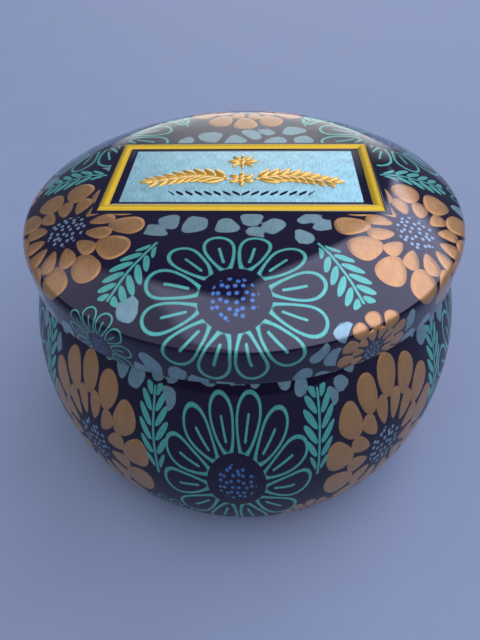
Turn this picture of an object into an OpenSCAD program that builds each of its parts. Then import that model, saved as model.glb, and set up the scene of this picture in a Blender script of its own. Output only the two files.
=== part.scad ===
/* [Body] */
// Diameter of the body at its widest line
bulge_d = 84.5; // [83:0.5:87]
// Height of the widest line above the table
bulge_z = 24.7; // [22:0.1:27]
// Diameter where the bowl leaves the table
foot_d = 62; // [58:0.5:66]
// Outer diameter of the straight neck under the lid
neck_d = 72.7; // [72:0.1:72.8]
// Radius of the arc from the widest line up to the neck
shoulder_r = 42; // [40:0.5:44]
// Radius of the hollow where the shoulder turns up into the neck
neck_fillet_r = 2.5; // [1.5:0.1:4]
// Gap between the rim and the underside of the closed lid
rim_gap = 0.15; // [0.1:0.05:0.5]
// Outer radius of the rim's rolled edge
curl_r = 0.95; // [0.8:0.05:0.95]
// Diameter of the pressed-up panel in the base
base_panel_d = 49; // [40:1:52]
// How far the base panel stands above the table
base_panel_rise = 0.8; // [0.5:0.1:1.2]

/* [Lid] */
// Outer diameter of the lid at its edge
lid_d = 78; // [78:0.1:79]
// Height of the lid's flat top when the tin is closed
lid_top_z = 57; // [57:0.1:58]
// Radius of the turn from the flat top into the slope
top_turn_r = 14; // [12:0.5:16]
// Radius of the gently bulging slope
slope_r = 45; // [40:1:50]
// Steepness of the slope where it starts, in degrees
slope_start = 16; // [14:1:18]
// Steepness of the slope where it meets the edge, in degrees
slope_end = 28; // [28:0.5:29]
// Radius of the corner between the slope and the skirt
edge_turn_r = 1.8; // [1.5:0.1:2]
// Height of the skirt's lower edge when the tin is closed
skirt_z = 46; // [45:0.1:47]
// How far the skirt closes in from the corner to its lower edge
skirt_taper = 0.15; // [0.1:0.05:0.2]
// Height of the hem folded up inside the skirt
hem_h = 1.6; // [1:0.1:2]

/* [Lid frame] */
// Length of the pressed frame on the lid
frame_w = 46.4; // [44:0.1:48]
// Depth of the pressed frame on the lid
frame_d = 23.6; // [22:0.1:25]
// Width of the frame's band
band_w = 1.6; // [1.4:0.1:2]
// How far the frame stands above the flat top
band_rise = 0.45; // [0.3:0.05:0.6]
// Width of the sloping side on each edge of the band
band_bevel = 0.45; // [0.3:0.05:0.5]

/* [Sheet] */
// Thickness of the tinplate
sheet_t = 0.3; // [0.25:0.01:0.3]

/* [Hidden] */

// Steps along each stretch of an outline.
BOWL_STEPS = 22;
SHOULDER_STEPS = 12;
TURN_STEPS = 8;
CURL_STEPS = 18;
RING_FN = 96;

bulge_r = bulge_d / 2;
foot_r = foot_d / 2;
neck_r = neck_d / 2;
base_panel_r = base_panel_d / 2;
// Level run of the pressed step between the base panel and the foot ring.
base_step_run = 2.5;

// The shoulder arc and the neck's hollow touch where both face the same way.
shoulder_c = [bulge_r - shoulder_r, bulge_z];
shoulder_end = acos((neck_r + neck_fillet_r - shoulder_c.x) / (shoulder_r + neck_fillet_r));
neck_fillet_c = shoulder_c
    + (shoulder_r + neck_fillet_r) * [cos(shoulder_end), sin(shoulder_end)];

lid_r = lid_d / 2;
// The lid's outline is three arcs, whose runs give the radius of the flat top.
edge_run = edge_turn_r * (1 - sin(slope_end));
slope_run = slope_r * (sin(slope_end) - sin(slope_start));
top_run = top_turn_r * sin(slope_start);
flat_r = lid_r - edge_run - slope_run - top_run;
top_c = [flat_r, lid_top_z - top_turn_r];
slope_c = top_c + (top_turn_r - slope_r) * [sin(slope_start), cos(slope_start)];
corner_c = slope_c + (slope_r - edge_turn_r) * [sin(slope_end), cos(slope_end)];

// The rim's edge rolls outwards on a circle that starts on the neck's outer face.
curl_inner_r = curl_r - sheet_t;
curl_x = neck_r + curl_inner_r;
curl_sweep = 265;
// The roll stands as high as the lid's slope lets it.
slope_reach = slope_r - sheet_t - rim_gap - curl_r;
curl_c = [curl_x, slope_c.y + sqrt(pow(slope_reach, 2) - pow(curl_x - slope_c.x, 2))];

// The hem is folded flat, with a hair's gap between its two layers.
hem_gap = 0.06;
hem_turn_r = sheet_t + hem_gap / 2;
skirt_r = lid_r - skirt_taper;
hem_c = [skirt_r - hem_turn_r, skirt_z + hem_turn_r];

// The frame is pressed up from the flat sheet, so its underside is a groove.
band_lean = band_bevel / band_rise;
band_wall = sheet_t * sqrt(1 + pow(band_lean, 2));
// How deep the band reaches into the sheet, to join it all round.
band_root = 0.2;
// How far a cutter passes the face that it cuts.
cut_over = 0.1;

LACQUER = [0.17, 0.13, 0.25];
GOLD = [0.80, 0.62, 0.20];

// Points on a circle of radius r about c, between two angles in degrees.
function arc(c, r, from, to, steps) =
    oval_arc(c, [r, r], from, to, steps);

function oval_arc(c, r, from, to, steps) =
    [for (i = [0:steps])
        let (a = from + (to - from) * i / steps)
        c + [r.x * cos(a), r.y * sin(a)]];

// Unit direction of a path at point i, the mean of the steps beside it.
function heading(path, i) =
    let (back = path[max(i - 1, 0)])
    let (next = path[min(i + 1, len(path) - 1)])
    (next - back) / norm(next - back);

// The same path moved sideways by t, to its left where t is positive.
function beside(path, t) =
    [for (i = [0:len(path) - 1])
        let (h = heading(path, i))
        path[i] + t * [-h.y, h.x]];

function reversed(path) =
    [for (i = [len(path) - 1:-1:0]) path[i]];

// A sheet of thickness t on the left of a path.
function sheet_outline(path, t) =
    concat(path, reversed(beside(path, t)));

// The outer face of the body, from the middle of the base to the rolled rim.
function body_path() =
    concat(
        [[0, base_panel_rise]],
        [for (i = [0:TURN_STEPS])
            [base_panel_r + base_step_run * i / TURN_STEPS,
             base_panel_rise * (1 + cos(180 * i / TURN_STEPS)) / 2]],
        oval_arc([foot_r, bulge_z], [bulge_r - foot_r, bulge_z], -90, 0, BOWL_STEPS),
        tail(arc(shoulder_c, shoulder_r, 0, shoulder_end, SHOULDER_STEPS)),
        tail(arc(neck_fillet_c, neck_fillet_r, 180 + shoulder_end, 180, TURN_STEPS)),
        arc(curl_c, curl_inner_r, 180, 180 - curl_sweep, CURL_STEPS)
    );

// The outer face of the lid, from the middle of its top to the folded hem.
function lid_path() =
    concat(
        [[0, lid_top_z]],
        arc(top_c, top_turn_r, 90, 90 - slope_start, TURN_STEPS),
        tail(arc(slope_c, slope_r, 90 - slope_start, 90 - slope_end, SHOULDER_STEPS)),
        tail(arc(corner_c, edge_turn_r, 90 - slope_end, 0, TURN_STEPS)),
        arc(hem_c, hem_turn_r, 0, -180, TURN_STEPS),
        [[hem_c.x - hem_turn_r, skirt_z + hem_h]]
    );

// A path without its first point, to join it to one that ends there.
function tail(path) =
    [for (i = [1:len(path) - 1]) path[i]];

// A rectangular block w by d at its foot, whose sides lean in by lean over its
// height h, or out where lean is negative.
module leaning_block(w, d, h, lean) {
    intersection() {
        leaning_bar(w, max(d, d - 2 * lean), h, lean);
        rotate([0, 0, 90])
            leaning_bar(d, max(w, w - 2 * lean), h, lean);
    }
}

// A bar of length l along Y, with a section w wide at the foot.
module leaning_bar(w, l, h, lean) {
    section = [[-w / 2, 0], [w / 2, 0], [w / 2 - lean, h], [-w / 2 + lean, h]];
    rotate([90, 0, 0])
        linear_extrude(height = l, center = true)
            polygon(section);
}

// The band of the pressed frame between two heights above the flat top. It is
// narrower by inset on all sides, which gives the groove under the band.
module frame_band(inset, low, high) {
    difference() {
        translate([0, 0, low])
            leaning_block(
                frame_w - 2 * (inset + band_lean * low),
                frame_d - 2 * (inset + band_lean * low),
                high - low,
                band_lean * (high - low));
        frame_opening(inset, low - cut_over, high + cut_over);
    }
}

// The opening inside the band, which widens upwards.
module frame_opening(inset, low, high) {
    translate([0, 0, low])
        leaning_block(
            frame_w - 2 * (band_w - inset - band_lean * low),
            frame_d - 2 * (band_w - inset - band_lean * low),
            high - low,
            -band_lean * (high - low));
}

// A drawn, bulged tinplate cup with a rolled rim.
module tin_body() {
    color(LACQUER)
        rotate_extrude($fn = RING_FN)
            polygon(sheet_outline(body_path(), sheet_t));
}

// A drawn slip lid with a pressed frame on its flat top.
module slip_lid() {
    difference() {
        union() {
            color(LACQUER)
                rotate_extrude($fn = RING_FN)
                    polygon(sheet_outline(lid_path(), -sheet_t));
            color(GOLD)
                translate([0, 0, lid_top_z])
                    frame_band(0, -band_root, band_rise);
        }
        translate([0, 0, lid_top_z])
            frame_band(band_wall, -sheet_t - cut_over, band_rise - sheet_t);
    }
}

tin_body();
slip_lid();
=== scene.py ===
from math import acos, asin, atan2, cos, degrees, hypot, pi, radians, sin, sqrt

import bmesh
import bpy
from mathutils import Matrix, Vector


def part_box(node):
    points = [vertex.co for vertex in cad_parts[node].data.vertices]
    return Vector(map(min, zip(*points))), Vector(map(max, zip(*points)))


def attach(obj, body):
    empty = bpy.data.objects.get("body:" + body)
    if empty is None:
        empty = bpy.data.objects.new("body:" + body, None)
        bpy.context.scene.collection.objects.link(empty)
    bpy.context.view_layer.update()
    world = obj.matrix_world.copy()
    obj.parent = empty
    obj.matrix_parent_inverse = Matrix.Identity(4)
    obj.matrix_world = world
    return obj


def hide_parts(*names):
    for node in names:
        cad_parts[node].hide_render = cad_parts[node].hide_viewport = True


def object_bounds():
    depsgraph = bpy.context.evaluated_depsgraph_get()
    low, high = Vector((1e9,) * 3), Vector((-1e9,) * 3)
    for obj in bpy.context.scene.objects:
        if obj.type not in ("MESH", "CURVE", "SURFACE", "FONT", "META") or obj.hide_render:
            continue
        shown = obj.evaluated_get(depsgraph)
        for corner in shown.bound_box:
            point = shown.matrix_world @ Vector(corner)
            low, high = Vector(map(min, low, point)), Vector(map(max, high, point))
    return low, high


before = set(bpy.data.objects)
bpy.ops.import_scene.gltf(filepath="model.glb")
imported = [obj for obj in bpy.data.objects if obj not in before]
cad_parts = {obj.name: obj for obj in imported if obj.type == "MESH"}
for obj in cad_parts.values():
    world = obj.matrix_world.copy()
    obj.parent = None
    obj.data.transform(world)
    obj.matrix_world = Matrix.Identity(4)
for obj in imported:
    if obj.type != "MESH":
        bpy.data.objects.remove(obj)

# All lengths are in mm, unless a name says otherwise. Meshes are scaled to metres when they are made.
MM = 0.001

CAD_LOW, CAD_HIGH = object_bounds()
LID_LOW, LID_HIGH = (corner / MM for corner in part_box("slip_lid"))
TIN_LOW, TIN_HIGH = (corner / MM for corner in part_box("tin_body"))

# The sheet, and the print on its outer face.
SHEET = 0.30
FILM = 0.03

# The pressed frame on the lid, and the printed label inside it.
FRAME_W = 46.4
FRAME_D = 23.6
BAND_W = 1.6
BAND_RISE = 0.45
LABEL_MARGIN = 1.0
PANEL_EDGE_X = 1.45
PANEL_EDGE_Y = 1.05

# The lid's outline: a flat top, a turn, a bulging slope, a corner, a skirt and a hem.
LID_R = min(LID_HIGH.x, -LID_LOW.x)
LID_TOP = LID_HIGH.z - BAND_RISE
SKIRT_Z = LID_LOW.z
TOP_TURN_R = 14
SLOPE_R = 45
SLOPE_START = 16
SLOPE_END = 28
EDGE_TURN_R = 1.8
SKIRT_TAPER = 0.15
HEM_TURN_R = 0.33
HEM_H = 1.6

# The body's outline: a raised base, a bowl, a shoulder, a neck and a rolled rim.
BULGE_R = min(TIN_HIGH.x, -TIN_LOW.x)
RIM_TOP = TIN_HIGH.z
BULGE_Z = 24.7
FOOT_R = 31
NECK_R = 36.35
SHOULDER_R = 42
NECK_FILLET_R = 2.5
CURL_R = 0.95
CURL_SWEEP = 265
BASE_PANEL_R = 24.5
BASE_STEP = 2.5
BASE_RISE = 0.8
NECK_STEPS = 4

LID_LONG_SIDE = 110
LID_SHORT_SIDE = 70
BODY_COLUMNS = 240

# The print is laid out on a flat disc. These are the radii that the discs are cut to.
LID_DISC_R = 49.5
BODY_DISC_R = 59.0
# Where the foot and the start of the neck lie on the body's disc. The drawn wall stretches the print between
# them, and this is how much less it does so at the neck than on average.
FOOT_PRINT_R = 33.0
NECK_PRINT_R = 55.5
NECK_EASE = 0.17


# ---------------------------------------------------------------- outlines


def arc(centre, radius, start, end, steps):
    """Points on a circle between two angles in degrees, both ends included."""
    return oval_arc(centre, (radius, radius), start, end, steps)


def oval_arc(centre, radii, start, end, steps):
    """Points on an ellipse between two angles in degrees, both ends included."""
    points = []
    for i in range(steps + 1):
        angle = radians(start + (end - start) * i / steps)
        points.append(Vector((centre[0] + radii[0] * cos(angle), centre[1] + radii[1] * sin(angle))))
    return points


def straight(start, end, steps):
    """Points on a line, without its first end."""
    start, end = Vector(start), Vector(end)
    return [start.lerp(end, i / steps) for i in range(1, steps + 1)]


def beside(path, distance):
    """The same path moved sideways, to its left where distance is positive."""
    moved = []
    for i, point in enumerate(path):
        heading = (path[min(i + 1, len(path) - 1)] - path[max(i - 1, 0)]).normalized()
        moved.append(point + distance * Vector((-heading.y, heading.x)))
    return moved


def reaches(path, start):
    """How far along the sheet each point lies."""
    lengths = [start]
    for here, after in zip(path, path[1:]):
        lengths.append(lengths[-1] + (after - here).length)
    return lengths


EDGE_RUN = EDGE_TURN_R * (1 - sin(radians(SLOPE_END)))
SLOPE_RUN = SLOPE_R * (sin(radians(SLOPE_END)) - sin(radians(SLOPE_START)))
TOP_RUN = TOP_TURN_R * sin(radians(SLOPE_START))
FLAT_R = LID_R - EDGE_RUN - SLOPE_RUN - TOP_RUN


def lid_height(radius):
    """Height of the lid's outer face on the flat top and the turn around it."""
    past = max(radius - FLAT_R, 0)
    return LID_TOP - TOP_TURN_R + sqrt(TOP_TURN_R**2 - past**2)


def lid_reach(radius):
    """Distance from the lid's middle along its face, on the flat top and the turn around it."""
    return min(radius, FLAT_R) + TOP_TURN_R * asin(max(radius - FLAT_R, 0) / TOP_TURN_R)


def lid_path():
    """The lid's outer face, from the start of the slope to the end of the hem."""
    turn = Vector((sin(radians(SLOPE_START)), cos(radians(SLOPE_START))))
    slope_c = Vector((FLAT_R, LID_TOP - TOP_TURN_R)) + (TOP_TURN_R - SLOPE_R) * turn
    corner = Vector((sin(radians(SLOPE_END)), cos(radians(SLOPE_END))))
    corner_c = slope_c + (SLOPE_R - EDGE_TURN_R) * corner
    hem_c = Vector((LID_R - SKIRT_TAPER - HEM_TURN_R, SKIRT_Z + HEM_TURN_R))
    path = arc(slope_c, SLOPE_R, 90 - SLOPE_START, 90 - SLOPE_END, 14)
    path += arc(corner_c, EDGE_TURN_R, 90 - SLOPE_END, 0, 9)[1:]
    path += straight(path[-1], (LID_R - SKIRT_TAPER, hem_c.y), 4)
    path += arc(hem_c, HEM_TURN_R, 0, -180, 10)[1:]
    path += straight(path[-1], (hem_c.x - HEM_TURN_R, SKIRT_Z + HEM_H), 3)
    return path


def body_path():
    """The body's outer face, from the base panel's edge to the top of the neck."""
    path = [Vector((BASE_PANEL_R * i / 4, BASE_RISE)) for i in (1, 2, 3)]
    for i in range(9):
        lift = BASE_RISE * (1 + cos(pi * i / 8)) / 2
        path.append(Vector((BASE_PANEL_R + BASE_STEP * i / 8, lift)))
    path += oval_arc((FOOT_R, BULGE_Z), (BULGE_R - FOOT_R, BULGE_Z), -90, 0, 26)
    shoulder_c = Vector((BULGE_R - SHOULDER_R, BULGE_Z))
    reach = SHOULDER_R + NECK_FILLET_R
    end = degrees(acos((NECK_R + NECK_FILLET_R - shoulder_c.x) / reach))
    fillet_c = shoulder_c + reach * Vector((cos(radians(end)), sin(radians(end))))
    path += arc(shoulder_c, SHOULDER_R, 0, end, 16)[1:]
    path += arc(fillet_c, NECK_FILLET_R, 180 + end, 180, 7)[1:]
    path += straight(path[-1], (NECK_R, curl_centre().y), NECK_STEPS)
    return path


def curl_centre():
    """Middle of the rim's roll."""
    return Vector((NECK_R + CURL_R - SHEET, RIM_TOP - CURL_R))


def curl_path():
    """The printed face of the rim, which is inside the roll."""
    return arc(curl_centre(), CURL_R - SHEET, 180, 180 - CURL_SWEEP, 22)[1:]


# Length of the body's sheet from the foot to the start of the straight neck.
WALL_LENGTH = reaches(body_path(), BASE_PANEL_R / 4)[-1 - NECK_STEPS] - FOOT_R


# ---------------------------------------------------------------- rings of points


def square_columns(long_side, short_side):
    """Points round a square of half-width 1, with a point on each corner."""
    along = [2 * i / long_side - 1 for i in range(long_side)]
    up = [2 * i / short_side - 1 for i in range(short_side)]
    front = [(x, -1) for x in along]
    right = [(1, y) for y in up]
    back = [(-x, 1) for x in along]
    left = [(-1, -y) for y in up]
    return front + right + back + left


LID_COLUMNS = square_columns(LID_LONG_SIDE, LID_SHORT_SIDE)


def band_height(share):
    """Height of the pressed band above the flat top, share of the way across it."""
    return BAND_RISE * (1 - abs(2 * share - 1) ** 2.4)


def label_outlines():
    """Half-width, half-depth and rise of each rectangle from the middle of the lid outwards."""
    inner_x = FRAME_W / 2 - BAND_W
    inner_y = FRAME_D / 2 - BAND_W
    outlines = [(inner_x * part, inner_y * part, 0) for part in (0.25, 0.5, 0.75, 0.94)]
    for i in range(13):
        across = BAND_W * i / 12
        outlines.append((inner_x + across, inner_y + across, band_height(i / 12)))
    for margin in (0.35, LABEL_MARGIN):
        outlines.append((FRAME_W / 2 + margin, FRAME_D / 2 + margin, 0))
    return outlines


def top_ring(corners, rise, depth):
    """A ring on the lid's top: its points, and where each lies on the print's disc."""
    points = []
    places = []
    for x, y in corners:
        radius = hypot(x, y)
        points.append((x, y, lid_height(radius) + rise - depth))
        stretch = lid_reach(radius) / radius
        places.append((x * stretch, y * stretch))
    return points, places


def round_ring(angles, radius, height, reach):
    """A level circle of points, and where each lies on the print's disc."""
    points = [(radius * cos(a), radius * sin(a), height) for a in angles]
    places = [(reach * cos(a), reach * sin(a)) for a in angles]
    return points, places


def lid_rings(depth):
    """The lid's rings, from its middle to the end of the hem, depth under its outer face."""
    rings = []
    for half_x, half_y, rise in label_outlines():
        corners = [(x * half_x, y * half_y) for x, y in LID_COLUMNS]
        rings.append(top_ring(corners, rise, depth))
    angles = [atan2(y, x) for x, y in corners]
    path = lid_path()
    steps = 6
    for i in range(1, steps):
        part = i / steps
        blended = []
        for (x, y), a in zip(corners, angles):
            blended.append((x + (path[0].x * cos(a) - x) * part, y + (path[0].x * sin(a) - y) * part))
        rings.append(top_ring(blended, 0, depth))
    for point, reach in zip(beside(path, -depth), reaches(path, lid_reach(path[0].x))):
        rings.append(round_ring(angles, point.x, point.y, reach))
    return rings


def body_rings(path, depth):
    """The body's rings along a path, from the base outwards and up, depth under its outer face."""
    angles = [2 * pi * i / BODY_COLUMNS for i in range(BODY_COLUMNS)]
    rings = []
    for point, length in zip(beside(path, depth), reaches(path, path[0].x)):
        rings.append(round_ring(angles, point.x, point.y, body_reach(length)))
    return rings


def body_reach(length):
    """Radius on the print's disc of a point length along the body's sheet from the middle of its base."""
    share = (length - FOOT_R) / WALL_LENGTH
    if share < 0:
        return FOOT_PRINT_R * length / FOOT_R
    eased = share * (1 - NECK_EASE) + NECK_EASE * share**2
    return FOOT_PRINT_R + (NECK_PRINT_R - FOOT_PRINT_R) * eased


# ---------------------------------------------------------------- meshes


def cap_faces(middle, ring):
    """Triangles that close a ring onto one point."""
    return [(middle, ring[i - 1], ring[i]) for i in range(len(ring))]


def strip_faces(inner, outer):
    """Four-sided faces between two rings."""
    return [(inner[i - 1], outer[i - 1], outer[i], inner[i]) for i in range(len(inner))]


class Solid:
    """Points and faces of one closed shape, gathered ring by ring."""

    def __init__(self):
        self.points = []
        self.faces = []
        self.places = []

    def add_ring(self, points, places=None):
        first = len(self.points)
        self.points += [tuple(p) for p in points]
        self.places += places or [(0, 0)] * len(points)
        return list(range(first, len(self.points)))

    def add_side(self, rings):
        """Lofts rings outwards from a point in their middle, and returns the last one's numbers."""
        points, _ = rings[0]
        middle = sum((Vector(p) for p in points), Vector()) / len(points)
        last = self.add_ring(points, rings[0][1])
        self.faces += cap_faces(self.add_ring([middle])[0], last)
        for points, places in rings[1:]:
            ring = self.add_ring(points, places)
            self.faces += strip_faces(last, ring)
            last = ring
        return last

    def mesh(self, name):
        """A mesh in metres, with its faces turned outwards and smooth shading."""
        mesh = bpy.data.meshes.new(name)
        mesh.from_pydata([Vector(p) * MM for p in self.points], [], self.faces)
        tidy = bmesh.new()
        tidy.from_mesh(mesh)
        bmesh.ops.recalc_face_normals(tidy, faces=tidy.faces)
        tidy.to_mesh(mesh)
        tidy.free()
        mesh.shade_smooth()
        return mesh


def skin(name, front, back):
    """A closed shell between two sets of rings, and its print's places, for a UV map."""
    solid = Solid()
    front_end = solid.add_side(front)
    front_faces = len(solid.faces)
    back_end = solid.add_side(back)
    solid.faces += strip_faces(front_end, back_end)
    mesh = solid.mesh(name)
    mark_sharp(mesh, [set(front_end), set(back_end)])
    return mesh, solid.places, front_faces


def mark_sharp(mesh, loops):
    """Makes the edges that run along some loops of points sharp."""
    sharp = mesh.attributes.new("sharp_edge", "BOOLEAN", "EDGE")
    for edge in mesh.edges:
        a, b = edge.vertices
        sharp.data[edge.index].value = any(a in loop and b in loop for loop in loops)


def add_disc_map(mesh, places, front_faces, disc_r):
    """Lays the front on a disc across the map, and the hidden back on a small one in a corner.

    The export bakes its textures through a map of this name, so the print gets nearly all of each texture.
    """
    layer = mesh.uv_layers.new(name="OFBake")
    corner = 0.068
    small = 0.12
    for face in mesh.polygons:
        middle, scale = (0.5, 1.0) if face.index < front_faces else (corner, small)
        for loop in face.loop_indices:
            x, y = places[mesh.loops[loop].vertex_index]
            layer.data[loop].uv = (middle + scale * x / (2 * disc_r), middle + scale * y / (2 * disc_r))


def add_piece(name, mesh, material, body, node):
    """Puts a mesh in the scene as a piece that rides on a body and stands for a CAD node."""
    piece = bpy.data.objects.new(name, mesh)
    bpy.context.scene.collection.objects.link(piece)
    mesh.materials.append(material)
    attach(piece, body)
    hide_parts(node)
    return piece


def mark_mitres(mesh):
    """Makes the four mitred corners of the lid's band sharp, so that its sides meet in a crisp line."""
    sharp = mesh.attributes["sharp_edge"]
    inner = Vector((FRAME_W / 2 - BAND_W, FRAME_D / 2 - BAND_W))
    near = 0.01
    for edge in mesh.edges:
        across = []
        for number in edge.vertices:
            x, y, z = mesh.vertices[number].co / MM
            on_diagonal = abs((abs(x) - inner.x) - (abs(y) - inner.y)) < near
            across.append(on_diagonal and -near < abs(x) - inner.x < BAND_W + near and z > LID_TOP - SHEET)
        if all(across):
            sharp.data[edge.index].value = True


def make_lid():
    """The lid's printed film and the tinplate under it."""
    printed = printed_tin("lid_print_ink", LID_DISC_R, LID_PRINT)
    bare = bare_tinplate("lid_bare_tinplate")
    mesh, places, front_faces = skin("lid_print", lid_rings(0), lid_rings(FILM))
    add_disc_map(mesh, places, front_faces, LID_DISC_R)
    mark_mitres(mesh)
    add_piece("lid_print", mesh, printed, "lid", "slip_lid")
    mesh, _, _ = skin("lid_sheet", lid_rings(FILM), lid_rings(SHEET))
    add_piece("lid_sheet", mesh, bare, "lid", "slip_lid")


def make_body():
    """The body's printed film and the tinplate under it."""
    printed = printed_tin("body_print_ink", BODY_DISC_R, BODY_PRINT)
    bare = bare_tinplate("body_bare_tinplate")
    outside = body_path()
    whole = outside + curl_path()
    mesh, places, front_faces = skin("body_print", body_rings(outside, 0), body_rings(outside, FILM))
    add_disc_map(mesh, places, front_faces, BODY_DISC_R)
    add_piece("body_print", mesh, printed, "tin", "tin_body")
    mesh, _, _ = skin("body_sheet", body_rings(whole, FILM), body_rings(whole, SHEET))
    add_piece("body_sheet", mesh, bare, "tin", "tin_body")


# ---------------------------------------------------------------- the lid's raised ornament

ORNAMENT_RISE = 0.34
ORNAMENT_ROOT = 0.05
SPRAY_START = 2.2
SPRAY_REACH = 15.5
SPRAY_Y = -1.6
SPRAY_BEND = 1.3
SPRAY_LEAVES = 8
SPRAY_LEAN = 42
STEM_WIDTH = 0.55
STEM_RISE = 0.24
BEAD_R = 0.6


def dome_rings(outline, rise):
    """A domed shape on the label, over an outline given as points about its own middle."""
    middle = sum(outline, Vector((0, 0))) / len(outline)
    rings = []
    for part in (0.25, 0.5, 0.75, 0.92, 1.0):
        height = LID_TOP + rise * sqrt(1 - 0.96 * part**2)
        ring = [middle + (p - middle) * part for p in outline]
        rings.append(([(p.x, p.y, height) for p in ring], None))
    foot = [(p.x, p.y, LID_TOP - ORNAMENT_ROOT) for p in outline]
    rings.append((foot, None))
    return rings


def add_dome(solid, outline, rise):
    """Adds one closed domed shape."""
    last = solid.add_side(dome_rings(outline, rise))
    middle = sum((Vector(solid.points[i]) for i in last), Vector()) / len(last)
    solid.faces += cap_faces(solid.add_ring([middle])[0], last[::-1])


def leaf_outline(base, angle, length, width):
    """A pointed leaf that grows from base in the direction of angle, in degrees."""
    along = Vector((cos(radians(angle)), sin(radians(angle))))
    across = Vector((-along.y, along.x))
    points = []
    for i in range(20):
        turn = 2 * pi * i / 20
        side = sin(turn)
        fat = abs(side) ** 1.25 * (1 + 0.25 * cos(turn))
        forward = length * (1 - cos(turn)) / 2
        points.append(base + along * forward + across * (width / 2 * (fat if side > 0 else -fat)))
    return points


def ring_outline(middle, radius):
    """A small circle."""
    return [middle + radius * Vector((cos(2 * pi * i / 16), sin(2 * pi * i / 16))) for i in range(16)]


def stem_outline(points, width):
    """A ribbon along some points, narrower towards its far end."""
    count = len(points)
    widths = [width * (1 - 0.6 * i / (count - 1)) / 2 for i in range(count)]
    left = []
    right = []
    for i, point in enumerate(points):
        heading = (points[min(i + 1, count - 1)] - points[max(i - 1, 0)]).normalized()
        across = Vector((-heading.y, heading.x)) * widths[i]
        left.append(point + across)
        right.append(point - across)
    return left, right


def add_stem(solid, points, width, rise):
    """A raised rib along some points, with a sloping side on each edge."""
    left, right = stem_outline(points, width)
    low = LID_TOP - ORNAMENT_ROOT
    first = None
    last = None
    for point, a, b in zip(points, left, right):
        section = [
            (a.x, a.y, low),
            (a.x, a.y, LID_TOP + rise * 0.4),
            (point.x, point.y, LID_TOP + rise),
            (b.x, b.y, LID_TOP + rise * 0.4),
            (b.x, b.y, low),
        ]
        ring = solid.add_ring(section)
        if last:
            solid.faces += strip_faces(last, ring)
        first = first or ring
        last = ring
    solid.faces += [tuple(first), tuple(last[::-1])]


def spray_point(share, side):
    """A point on one side's curving stem, share of the way to its tip."""
    reach = SPRAY_START + (SPRAY_REACH - SPRAY_START) * share
    return Vector((side * reach, SPRAY_Y + SPRAY_BEND * sin(pi * share * 1.25)))


def add_spray(solid, side):
    """One leafy branch, to the left or the right of the middle flower."""
    steps = 24
    add_stem(solid, [spray_point(i / steps, side) for i in range(steps + 1)], STEM_WIDTH, STEM_RISE)
    for i in range(SPRAY_LEAVES):
        share = (i + 0.5) / SPRAY_LEAVES
        base = spray_point(share, side)
        ahead = spray_point(min(share + 0.05, 1), side) - base
        heading = degrees(atan2(ahead.y, ahead.x))
        length = 4.0 - 1.5 * share
        for lean in (SPRAY_LEAN, -SPRAY_LEAN):
            outline = leaf_outline(base, heading + lean, length, 0.42 * length)
            add_dome(solid, outline, ORNAMENT_RISE)
    tip = spray_point(1, side)
    add_dome(solid, leaf_outline(tip, 0 if side > 0 else 180, 2.4, 1.1), ORNAMENT_RISE)


def add_flower(solid, middle, petals, length, width):
    """A flower of pointed petals round a bead."""
    for i in range(petals):
        angle = 90 + 360 * i / petals
        start = middle + 0.55 * Vector((cos(radians(angle)), sin(radians(angle))))
        add_dome(solid, leaf_outline(start, angle, length, width), ORNAMENT_RISE)
    add_dome(solid, ring_outline(middle, BEAD_R), ORNAMENT_RISE + 0.04)


def make_ornament():
    """Two leafy branches and two small flowers, raised on the label."""
    solid = Solid()
    add_spray(solid, 1)
    add_spray(solid, -1)
    add_flower(solid, Vector((0, -1.4)), 6, 1.9, 1.15)
    add_flower(solid, Vector((0, 5.0)), 8, 2.2, 0.85)
    mesh = solid.mesh("lid_ornament")
    add_piece("lid_ornament", mesh, gold_ink("raised_gold"), "lid", "slip_lid")


# ---------------------------------------------------------------- fields: arithmetic on shader sockets


class Field:
    """A number that varies over a surface: a shader socket that can be added, multiplied and so on."""

    def __init__(self, tree, socket):
        self.tree = tree
        self.socket = socket

    def math(self, operation, *others, clamp=False):
        node = self.tree.nodes.new("ShaderNodeMath")
        node.operation = operation
        node.use_clamp = clamp
        for pin, value in zip(node.inputs, (self, *others)):
            feed(self.tree, pin, value)
        return Field(self.tree, node.outputs[0])

    def __add__(self, other):
        return self.math("ADD", other)

    def __sub__(self, other):
        return self.math("SUBTRACT", other)

    def __rsub__(self, other):
        return self.math("MULTIPLY_ADD", -1.0, other)

    def __mul__(self, other):
        return self.math("MULTIPLY", other)

    def __truediv__(self, other):
        return self.math("DIVIDE", other)

    def __pow__(self, other):
        return self.math("POWER", other)

    def __abs__(self):
        return self.math("ABSOLUTE")

    def __lt__(self, other):
        return self.math("LESS_THAN", other)

    def floor(self):
        return self.math("FLOOR")

    def lowest(self, other):
        return self.math("MINIMUM", other)

    def highest(self, other):
        return self.math("MAXIMUM", other)

    def squared(self):
        return self * self


def feed(tree, pin, value):
    """Links a field or a socket to an input, or sets a plain number on it."""
    if isinstance(value, Field):
        tree.links.new(value.socket, pin)
    elif isinstance(value, bpy.types.NodeSocket):
        tree.links.new(value, pin)
    elif pin.type == "RGBA":
        pin.default_value = (*value, 1)
    else:
        pin.default_value = value


def size_of(a, b):
    """Length of the vector (a, b)."""
    return (a.squared() + b.squared()).math("SQRT")


def inside(distance, blur=0.12):
    """1 where a distance to an edge is negative, 0 where it is positive, and a short ramp between."""
    return distance.math("MULTIPLY_ADD", -1 / blur, 0.5, clamp=True)


def outside(distance, blur=0.12):
    """1 where a distance to an edge is positive, 0 where it is negative, and a short ramp between."""
    return distance.math("MULTIPLY_ADD", 1 / blur, 0.5, clamp=True)


def either(*masks):
    """1 where any of some masks is 1."""
    found = masks[0]
    for mask in masks[1:]:
        found = found.highest(mask)
    return found


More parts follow.
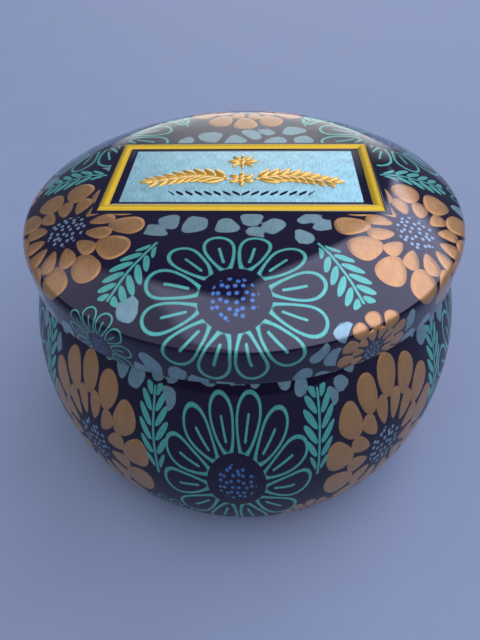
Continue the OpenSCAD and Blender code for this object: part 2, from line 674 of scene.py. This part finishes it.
def mixed(mask, off, on):
    """One number where a mask is 0 and another where it is 1."""
    tree = mask.tree
    node = tree.nodes.new("ShaderNodeMix")
    feed(tree, node.inputs["Factor"], mask)
    feed(tree, node.inputs["A"], off)
    feed(tree, node.inputs["B"], on)
    return Field(tree, node.outputs["Result"])


def mixed_colour(mask, off, on):
    """One colour where a mask is 0 and another where it is 1."""
    tree = mask.tree
    node = tree.nodes.new("ShaderNodeMix")
    node.data_type = "RGBA"
    feed(tree, node.inputs["Factor"], mask)
    feed(tree, node.inputs[6], off)
    feed(tree, node.inputs[7], on)
    return node.outputs[2]


def times_colour(colour, field):
    """A colour made darker or lighter by a field, or a vector made shorter or longer."""
    tree = field.tree
    node = tree.nodes.new("ShaderNodeVectorMath")
    node.operation = "SCALE"
    feed(tree, node.inputs[0], colour)
    feed(tree, node.inputs["Scale"], field)
    return node.outputs[0]


def vector_math(tree, operation, *values):
    node = tree.nodes.new("ShaderNodeVectorMath")
    node.operation = operation
    for pin, value in zip(node.inputs, values):
        feed(tree, pin, value)
    return node


def parts_of(tree, vector):
    """The x and y of a vector, as fields."""
    node = tree.nodes.new("ShaderNodeSeparateXYZ")
    tree.links.new(vector, node.inputs[0])
    return Field(tree, node.outputs[0]), Field(tree, node.outputs[1])


def noise(tree, vector, scale, detail=2.0, roughness=0.5):
    node = tree.nodes.new("ShaderNodeTexNoise")
    tree.links.new(vector, node.inputs["Vector"])
    node.inputs["Scale"].default_value = scale
    node.inputs["Detail"].default_value = detail
    node.inputs["Roughness"].default_value = roughness
    return node


def noise_field(tree, vector, scale, detail=2.0, roughness=0.5):
    return Field(tree, noise(tree, vector, scale, detail, roughness).outputs[0])


def stretched(tree, vector, x, y, z=1.0):
    """A vector scaled by a different number along each axis."""
    return vector_math(tree, "MULTIPLY", vector, (x, y, z)).outputs[0]


def warped(tree, vector, scale, amount):
    """A vector pushed about by noise, as a hand-drawn line wanders."""
    push = noise(tree, vector, scale, 0.0).outputs["Color"]
    centred = vector_math(tree, "SUBTRACT", push, (0.5, 0.5, 0.5)).outputs[0]
    return vector_math(tree, "MULTIPLY_ADD", centred, (amount, amount, 0.0), vector).outputs[0]


def cells(tree, vector, width, feature="F1", randomness=1.0):
    """A flat Voronoi pattern, with cells about width mm across."""
    node = tree.nodes.new("ShaderNodeTexVoronoi")
    node.voronoi_dimensions = "2D"
    node.feature = feature
    tree.links.new(vector, node.inputs["Vector"])
    node.inputs["Scale"].default_value = 1 / width
    node.inputs["Randomness"].default_value = randomness
    return node


def cell_distance(tree, vector, width, feature="F1", randomness=1.0):
    """Distance in mm to the nearest cell's middle or edge."""
    return Field(tree, cells(tree, vector, width, feature, randomness).outputs["Distance"]) * width


# ---------------------------------------------------------------- motifs of the print


class Spot:
    """Where one motif lies on the print's disc: its middle, its turn in degrees, its size and its stretch."""

    def __init__(self, x, y, turn, scale, stretch):
        self.x = x
        self.y = y
        self.turn = turn
        self.scale = scale
        self.stretch = stretch


def ring_of_spots(count, radius, first, scale, stretch):
    """Motifs spaced evenly round a circle, each with its own x axis pointing outwards."""
    spots = []
    for i in range(count):
        turn = first + 360 * i / count
        x = radius * cos(radians(turn))
        y = radius * sin(radians(turn))
        spots.append(Spot(x, y, turn, scale, stretch))
    return spots


def seen_from(tree, vector, spot):
    """A point of the print in a motif's own coordinates."""
    node = tree.nodes.new("ShaderNodeMapping")
    node.vector_type = "TEXTURE"
    tree.links.new(vector, node.inputs["Vector"])
    node.inputs["Location"].default_value = (spot.x, spot.y, 0)
    node.inputs["Rotation"].default_value = (0, 0, radians(spot.turn))
    node.inputs["Scale"].default_value = (spot.scale * spot.stretch, spot.scale, 1)
    return node.outputs[0]


def nearest(tree, vector, spots, half_x=1.0, half_y=1.0):
    """The point in the coordinates of the nearest motif, and how far off it is in its half-sizes."""
    chosen = None
    best = None
    for spot in spots:
        local = seen_from(tree, vector, spot)
        shrunk = stretched(tree, local, 1 / half_x, 1 / half_y)
        far = Field(tree, vector_math(tree, "LENGTH", shrunk).outputs["Value"])
        if best is None:
            chosen, best = local, far
        else:
            node = tree.nodes.new("ShaderNodeMix")
            node.data_type = "VECTOR"
            feed(tree, node.inputs["Factor"], far < best)
            feed(tree, node.inputs[4], chosen)
            feed(tree, node.inputs[5], local)
            chosen, best = node.outputs[1], best.lowest(far)
    return chosen, best


def sector(angle, count, shift):
    """Position across each of count equal parts round a flower, from -0.5 to 0.5."""
    position = angle.math("MULTIPLY_ADD", count / (2 * pi), shift)
    return position - position.floor() - 0.5


FLOWER_R = 13.0
EYE_R = 3.4
DOT_SPACING = 1.1
DOT_R = 0.3
PETAL_COUNT = 12
PETAL_GAP = 0.75
PETAL_FULLNESS = 2.4
# The solid flower's two rows of petals: where each starts and ends, and its shift in petals.
SOLID_ROWS = ((4.1, 8.3, 0.0), (7.3, FLOWER_R, 0.5))
LINE_PETALS_FROM = 4.3
LINE_FROM = 5.1
LINE_HALF = 0.21
VEIN_FROM = 6.8
VEIN_TO = 10.2


def petals(radius, angle, start, end, shift=0.0):
    """A row of rounded petals, side by side round a flower: a distance, negative inside a petal."""
    across = sector(angle, PETAL_COUNT, shift)
    half_width = (radius * (pi / PETAL_COUNT) - PETAL_GAP / 2).highest(0.1)
    along = (radius - (start + end) / 2) / ((end - start) / 2)
    off = across * radius * (2 * pi / PETAL_COUNT) / half_width
    return (abs(along) ** PETAL_FULLNESS + off.squared() - 1) * half_width * 0.5


def veins(radius, angle):
    """One short line up the middle of each petal."""
    across = sector(angle, PETAL_COUNT, 0.0) * radius * (2 * pi / PETAL_COUNT)
    middle = (VEIN_FROM + VEIN_TO) / 2
    past = (abs(radius - middle) - (VEIN_TO - VEIN_FROM) / 2).highest(0.0)
    return inside(size_of(past, across) - LINE_HALF)


def eye_dots(tree, place, radius):
    """Small dots in the eye of a flower."""
    distance = cell_distance(tree, place, DOT_SPACING, randomness=0.55) - DOT_R
    return inside(distance) * inside(radius - EYE_R)


def around(tree, place, spots):
    """A point in the nearest flower's coordinates, as a vector, a radius and an angle."""
    local, _ = nearest(tree, place, spots)
    x, y = parts_of(tree, local)
    return local, size_of(x, y), y.math("ARCTAN2", x)


def solid_flowers(tree, place, spots):
    """Flowers of solid petals in two rows: the petals' distance, and the dots in the eye."""
    local, radius, angle = around(tree, place, spots)
    distance = None
    for start, end, shift in SOLID_ROWS:
        row = petals(radius, angle, start, end, shift)
        distance = row if distance is None else distance.lowest(row)
    return distance, eye_dots(tree, local, radius)


def line_flowers(tree, place, spots):
    """Flowers drawn in line, with a vein up each petal: the lines, and the dots in the eye."""
    local, radius, angle = around(tree, place, spots)
    outline = inside(abs(petals(radius, angle, LINE_PETALS_FROM, FLOWER_R)) - LINE_HALF)
    outline = outline * outside(radius - LINE_FROM)
    return either(outline, veins(radius, angle)), eye_dots(tree, local, radius)


SPRIG_HALF = 6.0
SPRIG_WIDE = 3.0
LEAF_PITCH = 2.0
LEAF_LEAN = 48
LEAF_HALF_WIDTH = 0.62
LEAF_START = 0.35


def sprigs(tree, place, spots):
    """Straight stems with a row of small oval leaves on each side."""
    local, _ = nearest(tree, place, spots, SPRIG_HALF, SPRIG_WIDE)
    x, y = parts_of(tree, local)
    lean = radians(LEAF_LEAN)
    off = abs(y)
    root = x - off * (cos(lean) / sin(lean))
    across = ((root / LEAF_PITCH).math("FRACT") - 0.5) * (LEAF_PITCH * sin(lean))
    reach = (1 - (root / SPRIG_HALF).squared()).highest(0.0) ** 0.5 * SPRIG_WIDE
    middle = (reach + LEAF_START) * 0.5
    length = ((reach - LEAF_START) * 0.5).highest(0.05)
    bulge = (1 - ((off - middle) / length).squared()).highest(0.0) ** 0.5
    leaf = inside(abs(across) - bulge * LEAF_HALF_WIDTH + 0.06) * inside(abs(root) - SPRIG_HALF)
    stem = inside(size_of((abs(x) - SPRIG_HALF).highest(0.0), y) - LINE_HALF)
    return either(leaf, stem)


CHIP_W = 4.3
CHIP_GAP = 0.52
CHIP_ROUNDING = 0.26
CHIP_MIDDLE = 1.8
CORNER_BLUR = 0.55
# The radius at which a pulled-out pattern keeps its size.
PULL_R = 48.0
# How near to a motif a chip may come, and how near its middle may.
CHIP_CLEAR = 0.5
CHIP_MIDDLE_CLEAR = 1.1


def soft_edge_distance(tree, vector):
    """Distance to the nearest cell's edge, averaged over four points, which rounds the corners."""
    total = None
    for push in ((CORNER_BLUR, 0, 0), (-CORNER_BLUR, 0, 0), (0, CORNER_BLUR, 0), (0, -CORNER_BLUR, 0)):
        near = vector_math(tree, "ADD", vector, push).outputs[0]
        distance = cell_distance(tree, near, CHIP_W, "DISTANCE_TO_EDGE")
        total = distance if total is None else total + distance
    return total * 0.25


def pulled_out(tree, vector, power):
    """A point moved along its own radius, so that a pattern drawn there is shorter that way by power."""
    if power == 1:
        return vector
    x, y = parts_of(tree, vector)
    scale = (size_of(x, y) / PULL_R) ** (power - 1)
    return times_colour(vector, scale)


def chips(tree, place, design):
    """Scattered stone chips of uneven shape, clear of the flowers and the sprigs."""
    pulled = pulled_out(tree, place, design.chip_pull)
    edge = soft_edge_distance(tree, pulled)
    node = cells(tree, pulled, CHIP_W)
    chip_middle = pulled_out(tree, node.outputs["Position"], 1 / design.chip_pull)
    middle = Field(tree, node.outputs["Distance"]) * CHIP_W
    distance = (middle - CHIP_MIDDLE) * CHIP_ROUNDING + CHIP_GAP - edge
    drawn = inside(distance)
    for spots, half_x, half_y in (
        (design.solid + design.line, FLOWER_R, FLOWER_R),
        (design.sprigs, SPRIG_HALF, SPRIG_WIDE),
    ):
        _, here = nearest(tree, place, spots, half_x + CHIP_CLEAR, half_y + CHIP_CLEAR)
        _, whole = nearest(
            tree, chip_middle, spots, half_x + CHIP_MIDDLE_CLEAR, half_y + CHIP_MIDDLE_CLEAR
        )
        drawn = drawn * outside((here - 1) * half_y) * (1 - (whole < 1))
    return drawn


# ---------------------------------------------------------------- inks

INK = (0.0036, 0.0022, 0.0130)
INK_WARM = (0.0085, 0.0035, 0.0140)
GOLD = (0.58, 0.37, 0.018)
PANEL = (0.38, 0.68, 0.70)
INKS = {
    "chip": (0.19, 0.31, 0.31),
    "copper": (0.44, 0.225, 0.080),
    "mint": (0.080, 0.36, 0.27),
    "dot": (0.055, 0.15, 0.33),
    "seed": (0.20, 0.30, 0.36),
}


# The solid petals are embossed: domed over this run in mm, and this steep.
DOME_RUN = 0.5
DOME_SLOPE = 0.22


class Print:
    """One sheet's print: its motifs, the grain of its tin, the gloss of its lacquer and any label.

    Flowers of two kinds take turns round a ring, with a sprig and a small flower in each gap.
    """

    def __init__(self, count, flower_at, sprig_at, bud_at, bud_size, stretch, chip_pull, grain, gloss, label):
        step = 360 / count
        half = count // 2
        self.solid = ring_of_spots(half, flower_at, 90, 1.0, stretch)
        self.solid += ring_of_spots(half, bud_at, 90 + 1.5 * step, bud_size, stretch)
        self.line = ring_of_spots(half, flower_at, 90 + step, 1.0, stretch)
        self.line += ring_of_spots(half, bud_at, 90 + 0.5 * step, bud_size, stretch)
        self.sprigs = ring_of_spots(count, sprig_at, 90 + 0.5 * step, 1.0, stretch)
        self.chip_pull = chip_pull
        self.grain = grain
        self.gloss = gloss
        self.label = label


LID_PRINT = Print(
    count=6,
    flower_at=32,
    sprig_at=30,
    bud_at=44,
    bud_size=0.5,
    stretch=1.0,
    chip_pull=1.0,
    grain=(7.0, 0.5),
    gloss=1.0,
    label=True,
)

# The wall is stretched when it is drawn, so its motifs are printed short.
BODY_PRINT = Print(
    count=10,
    flower_at=45,
    sprig_at=49,
    bud_at=37,
    bud_size=0.4,
    stretch=0.68,
    chip_pull=1.9,
    grain=(4.0, 4.0),
    gloss=0.55,
    label=False,
)


def new_material(name):
    """An empty node material: the material, its tree and its one shader."""
    material = bpy.data.materials.new(name)
    material.use_nodes = True
    tree = material.node_tree
    tree.nodes.clear()
    shader = tree.nodes.new("ShaderNodeBsdfPrincipled")
    output = tree.nodes.new("ShaderNodeOutputMaterial")
    tree.links.new(shader.outputs[0], output.inputs[0])
    return material, tree, shader


def disc_position(tree, disc_r):
    """A point's place on the print's disc in mm, from the mesh's map."""
    node = tree.nodes.new("ShaderNodeUVMap")
    node.uv_map = "OFBake"
    centred = vector_math(tree, "SUBTRACT", node.outputs[0], (0.5, 0.5, 0)).outputs[0]
    return stretched(tree, centred, 2 * disc_r, 2 * disc_r, 0)


def block(x, y, half_x, half_y):
    """Distance past the edge of a rectangle about the middle, negative inside it."""
    return (abs(x) - half_x).highest(abs(y) - half_y)


def label_masks(x, y):
    """Where the label's ground, gold band, panel and printed row of leaves are."""
    half_x = FRAME_W / 2
    half_y = FRAME_D / 2
    ground = inside(block(x, y, half_x + LABEL_MARGIN, half_y + LABEL_MARGIN))
    inner = block(x, y, half_x - BAND_W, half_y - BAND_W)
    gold = inside(block(x, y, half_x, half_y)) * outside(inner)
    panel = inside(block(x, y, half_x - BAND_W - PANEL_EDGE_X, half_y - BAND_W - PANEL_EDGE_Y))
    return ground, gold, panel, leaf_row(x, y)


LEAF_ROW_Y = -6.3
LEAF_ROW_REACH = 12.0
LEAF_ROW_PITCH = 1.6


def leaf_row(x, y):
    """A printed line of small slanting leaves under the ornament, mirrored about the middle."""
    off = abs(x) - (y - LEAF_ROW_Y) * 0.8
    beat = ((off / LEAF_ROW_PITCH).math("FRACT") - 0.5) * LEAF_ROW_PITCH
    wide = (1 - abs(y - LEAF_ROW_Y) / 0.85).highest(0.0) ** 0.6 * 0.52
    return inside(abs(beat) - wide, 0.08) * inside(abs(off) - LEAF_ROW_REACH)


# Each ink's metal: how much of the bare tin shows through it.
SHINE = {"chip": 0.85, "copper": 0.85, "seed": 0.7, "mint": 0.6, "dot": 0.6}
GOLD_SHINE = 0.55
PANEL_SHINE = 0.9
GOLD_COAT = 0.2
WASH_SCALE = 0.12
# How fast the print's lines wander, and how far in mm.
WANDER_SCALE = 0.2
WANDER = 0.6
# The body's print stops this far inside the foot.
UNPRINTED_INSET = 1.0


def printed_inks(tree, flat, design):
    """The print's inks: for each its mask, colour and metal, and the relief of the solid petals."""
    drawn = warped(tree, flat, WANDER_SCALE, WANDER)
    petal, seeds = solid_flowers(tree, drawn, design.solid)
    lines, dots = line_flowers(tree, drawn, design.line)
    lines = either(lines, sprigs(tree, drawn, design.sprigs))
    masks = {
        "chip": chips(tree, drawn, design),
        "copper": inside(petal),
        "seed": seeds,
        "mint": lines,
        "dot": dots,
    }
    inks = [(mask, INKS[name], SHINE[name]) for name, mask in masks.items()]
    relief = (petal * -1).highest(0.0).lowest(DOME_RUN) * DOME_SLOPE
    return inks, relief


def label_inks(x, y, grain):
    """The label's inks: for each its mask, colour and metal, and the label's ground and gold band."""
    ground, gold, panel, row = label_masks(x, y)
    inks = (
        (ground, INK, 0.0),
        (gold, times_colour(GOLD, grain * 0.3 + 0.7), GOLD_SHINE),
        (panel, times_colour(PANEL, grain * 1.6 - 0.6), PANEL_SHINE),
        (panel * row, INK, 0.0),
    )
    return inks, ground, gold


def printed_tin(name, disc_r, design):
    """Tinplate with a litho print under gloss lacquer."""
    material, tree, shader = new_material(name)
    flat = disc_position(tree, disc_r)
    x, y = parts_of(tree, flat)
    grain = tin_grain(tree, flat, design.grain)
    inks, relief = printed_inks(tree, flat, design)
    layers = [(mask, times_colour(ink, grain), shine) for mask, ink, shine in inks]
    if design.label:
        label_layers, ground, gold = label_inks(x, y, grain)
        layers += label_layers
        relief = relief * (1 - ground)
    else:
        under = inside(size_of(x, y) - FOOT_PRINT_R + UNPRINTED_INSET)
        layers.append((under, INK, 0.0))

    colour = mixed_colour(noise_field(tree, flat, WASH_SCALE), INK, INK_WARM)
    metal = 0.0
    for mask, ink, shine in layers:
        colour = mixed_colour(mask, colour, ink)
        metal = mixed(mask, metal, shine)
    coat = (1 - metal * 0.35) * design.gloss
    if design.label:
        coat = mixed(gold, coat, GOLD_COAT)

    feed(tree, shader.inputs["Base Color"], colour)
    feed(tree, shader.inputs["Metallic"], metal)
    feed(tree, shader.inputs["Roughness"], mixed(metal, 0.5, grain * 0.1 + 0.30))
    feed(tree, shader.inputs["Coat Weight"], coat)
    shader.inputs["Specular IOR Level"].default_value = 0.0
    shader.inputs["Coat Roughness"].default_value = 0.045
    shader.inputs["Coat IOR"].default_value = 1.5
    skin_relief = noise_field(tree, flat, 0.9, 1.0) * 0.006
    feed(tree, shader.inputs["Normal"], bump(tree, relief + grain * 0.004 + skin_relief))
    return material


def tin_grain(tree, flat, grain):
    """Fine streaks of the rolled tin that show through the lighter inks, about 1 on average."""
    fine = noise_field(tree, stretched(tree, flat, grain[0], grain[1]), 1.0, 3.0, 0.6)
    broad = noise_field(tree, flat, 0.35, 2.0)
    return fine * 0.9 + broad * 0.35 + 0.38


def bump(tree, height_mm):
    """A surface normal from a height in mm."""
    node = tree.nodes.new("ShaderNodeBump")
    node.inputs["Distance"].default_value = MM
    feed(tree, node.inputs["Height"], height_mm)
    return node.outputs[0]


def object_position(tree):
    """A point's place in the object's own frame, in mm."""
    node = tree.nodes.new("ShaderNodeTexCoord")
    return stretched(tree, node.outputs["Object"], 1 / MM, 1 / MM, 1 / MM)


def gold_ink(name):
    """Raised gold print."""
    material, tree, shader = new_material(name)
    place = object_position(tree)
    mottle = noise_field(tree, place, 1.4, 3.0)
    colour = mixed_colour(mottle, (0.78, 0.45, 0.04), (0.56, 0.29, 0.02))
    feed(tree, shader.inputs["Base Color"], colour)
    feed(tree, shader.inputs["Roughness"], mottle * 0.2 + 0.16)
    shader.inputs["Metallic"].default_value = 0.6
    shader.inputs["Coat Weight"].default_value = 0.8
    shader.inputs["Coat Roughness"].default_value = 0.08
    feed(tree, shader.inputs["Normal"], bump(tree, mottle * 0.03))
    return material


def bare_tinplate(name):
    """Clear-lacquered tinplate, with faint rings where it was drawn and a few dull stains."""
    material, tree, shader = new_material(name)
    place = object_position(tree)
    x, y = parts_of(tree, place)
    ring = tree.nodes.new("ShaderNodeCombineXYZ")
    feed(tree, ring.inputs[0], size_of(x, y))
    split = tree.nodes.new("ShaderNodeSeparateXYZ")
    tree.links.new(place, split.inputs[0])
    feed(tree, ring.inputs[1], split.outputs[2])
    feed(tree, ring.inputs[2], y.math("ARCTAN2", x) * 0.6)
    lines = noise_field(tree, ring.outputs[0], 3.2, 4.0, 0.7)
    stain = noise_field(tree, place, 0.09, 4.0, 0.6)
    colour = mixed_colour(stain, (0.66, 0.63, 0.57), (0.50, 0.45, 0.36))
    feed(tree, shader.inputs["Base Color"], times_colour(colour, lines * 0.3 + 0.85))
    feed(tree, shader.inputs["Roughness"], lines * 0.12 + stain * 0.2 + 0.16)
    shader.inputs["Metallic"].default_value = 0.95
    shader.inputs["Coat Weight"].default_value = 0.35
    shader.inputs["Coat Roughness"].default_value = 0.2
    feed(tree, shader.inputs["Normal"], bump(tree, lines * 0.012 + stain * 0.02))
    return material


# ---------------------------------------------------------------- stage


def floor_material():
    """A pale matt floor with a faint mottle."""
    material, tree, shader = new_material("pale_floor")
    place = object_position(tree)
    mottle = noise_field(tree, place, 0.05, 5.0, 0.6)
    colour = mixed_colour(mottle, (0.165, 0.200, 0.245), (0.190, 0.230, 0.282))
    feed(tree, shader.inputs["Base Color"], colour)
    feed(tree, shader.inputs["Roughness"], mottle * 0.2 + 0.6)
    return material


def make_floor():
    """A level square under the tin, 2 m from its middle to each side."""
    mesh = bpy.data.meshes.new("floor")
    half = 2.0
    corners = [(-half, -half, 0), (half, -half, 0), (half, half, 0), (-half, half, 0)]
    mesh.from_pydata(corners, [], [(0, 1, 2, 3)])
    mesh.materials.append(floor_material())
    floor = bpy.data.objects.new("floor", mesh)
    bpy.context.scene.collection.objects.link(floor)
    floor.location.z = CAD_LOW.z


# The studio's surround: a wide bright screen above the front and the right, dimmer to the left, a pale
# screen low behind the tin, and shade everywhere else.
BRIGHT_SKY = (2.10, 2.20, 3.10)
LEFT_SKY = (0.75, 0.80, 1.05)
BACK_SKY = (1.70, 1.74, 1.82)
SHADE = (0.12, 0.14, 0.19)


def sky_side(tree, direction, facing, start, blur=0.07):
    """1 on one side of a soft line across the sky, 0 on the other."""
    dot = Field(tree, vector_math(tree, "DOT_PRODUCT", direction, facing).outputs["Value"])
    return outside(dot - start, blur)


def make_world():
    """A soft surround that lights the tin, as tall white screens would."""
    world = bpy.data.worlds.new("studio")
    bpy.context.scene.world = world
    world.use_nodes = True
    tree = world.node_tree
    tree.nodes.clear()
    direction = tree.nodes.new("ShaderNodeTexCoord").outputs["Generated"]
    right = sky_side(tree, direction, (1.0, 0.0, 0.5), 0.50)
    front = sky_side(tree, direction, (-0.4, -1.0, 0.0), -0.14)
    high = sky_side(tree, direction, (0.0, 0.0, 1.0), 0.40)
    left = sky_side(tree, direction, (-1.0, -0.35, -0.2), 0.15)
    behind = sky_side(tree, direction, (0.0, 0.993, 0.12), 0.94, 0.04)
    screen = mixed_colour(left, BRIGHT_SKY, LEFT_SKY)
    sky = mixed_colour(either(right, front) * high, SHADE, screen)
    sky = mixed_colour(behind, sky, BACK_SKY)
    ground = tree.nodes.new("ShaderNodeBackground")
    tree.links.new(sky, ground.inputs[0])
    output = tree.nodes.new("ShaderNodeOutputWorld")
    tree.links.new(ground.outputs[0], output.inputs[0])


CAMERA_AZIMUTH = 3.2
CAMERA_ELEVATION = 43.5
CAMERA_ROLL = -1.6
CAMERA_DISTANCE = 117.1
CAMERA_LENS = 29.4
SENSOR_WIDTH = 36
# In metres, as Blender has it.
CLIP_START = 0.005
# Where the camera aims, in mm from the middle of the object's box.
CAMERA_AIM = Vector((-1.1, 0, -7.2))


def make_camera():
    """A close, wide view from above the front, as a phone held over the tin sees it."""
    camera = bpy.data.cameras.new("camera")
    camera.lens = CAMERA_LENS
    camera.sensor_width = SENSOR_WIDTH
    camera.clip_start = CLIP_START
    holder = bpy.data.objects.new("camera", camera)
    bpy.context.scene.collection.objects.link(holder)
    turn = Matrix.Rotation(radians(CAMERA_AZIMUTH), 4, "Z")
    tilt = Matrix.Rotation(radians(90 - CAMERA_ELEVATION), 4, "X")
    roll = Matrix.Rotation(radians(CAMERA_ROLL), 4, "Z")
    aim = (CAD_LOW + CAD_HIGH) / 2 + CAMERA_AIM * MM
    back = Matrix.Translation((0, 0, CAMERA_DISTANCE * MM))
    holder.matrix_world = Matrix.Translation(aim) @ turn @ tilt @ back @ roll
    bpy.context.scene.camera = holder


make_lid()
make_body()
make_ornament()
make_floor()
make_world()
make_camera()
bpy.context.scene.view_settings.view_transform = "Standard"
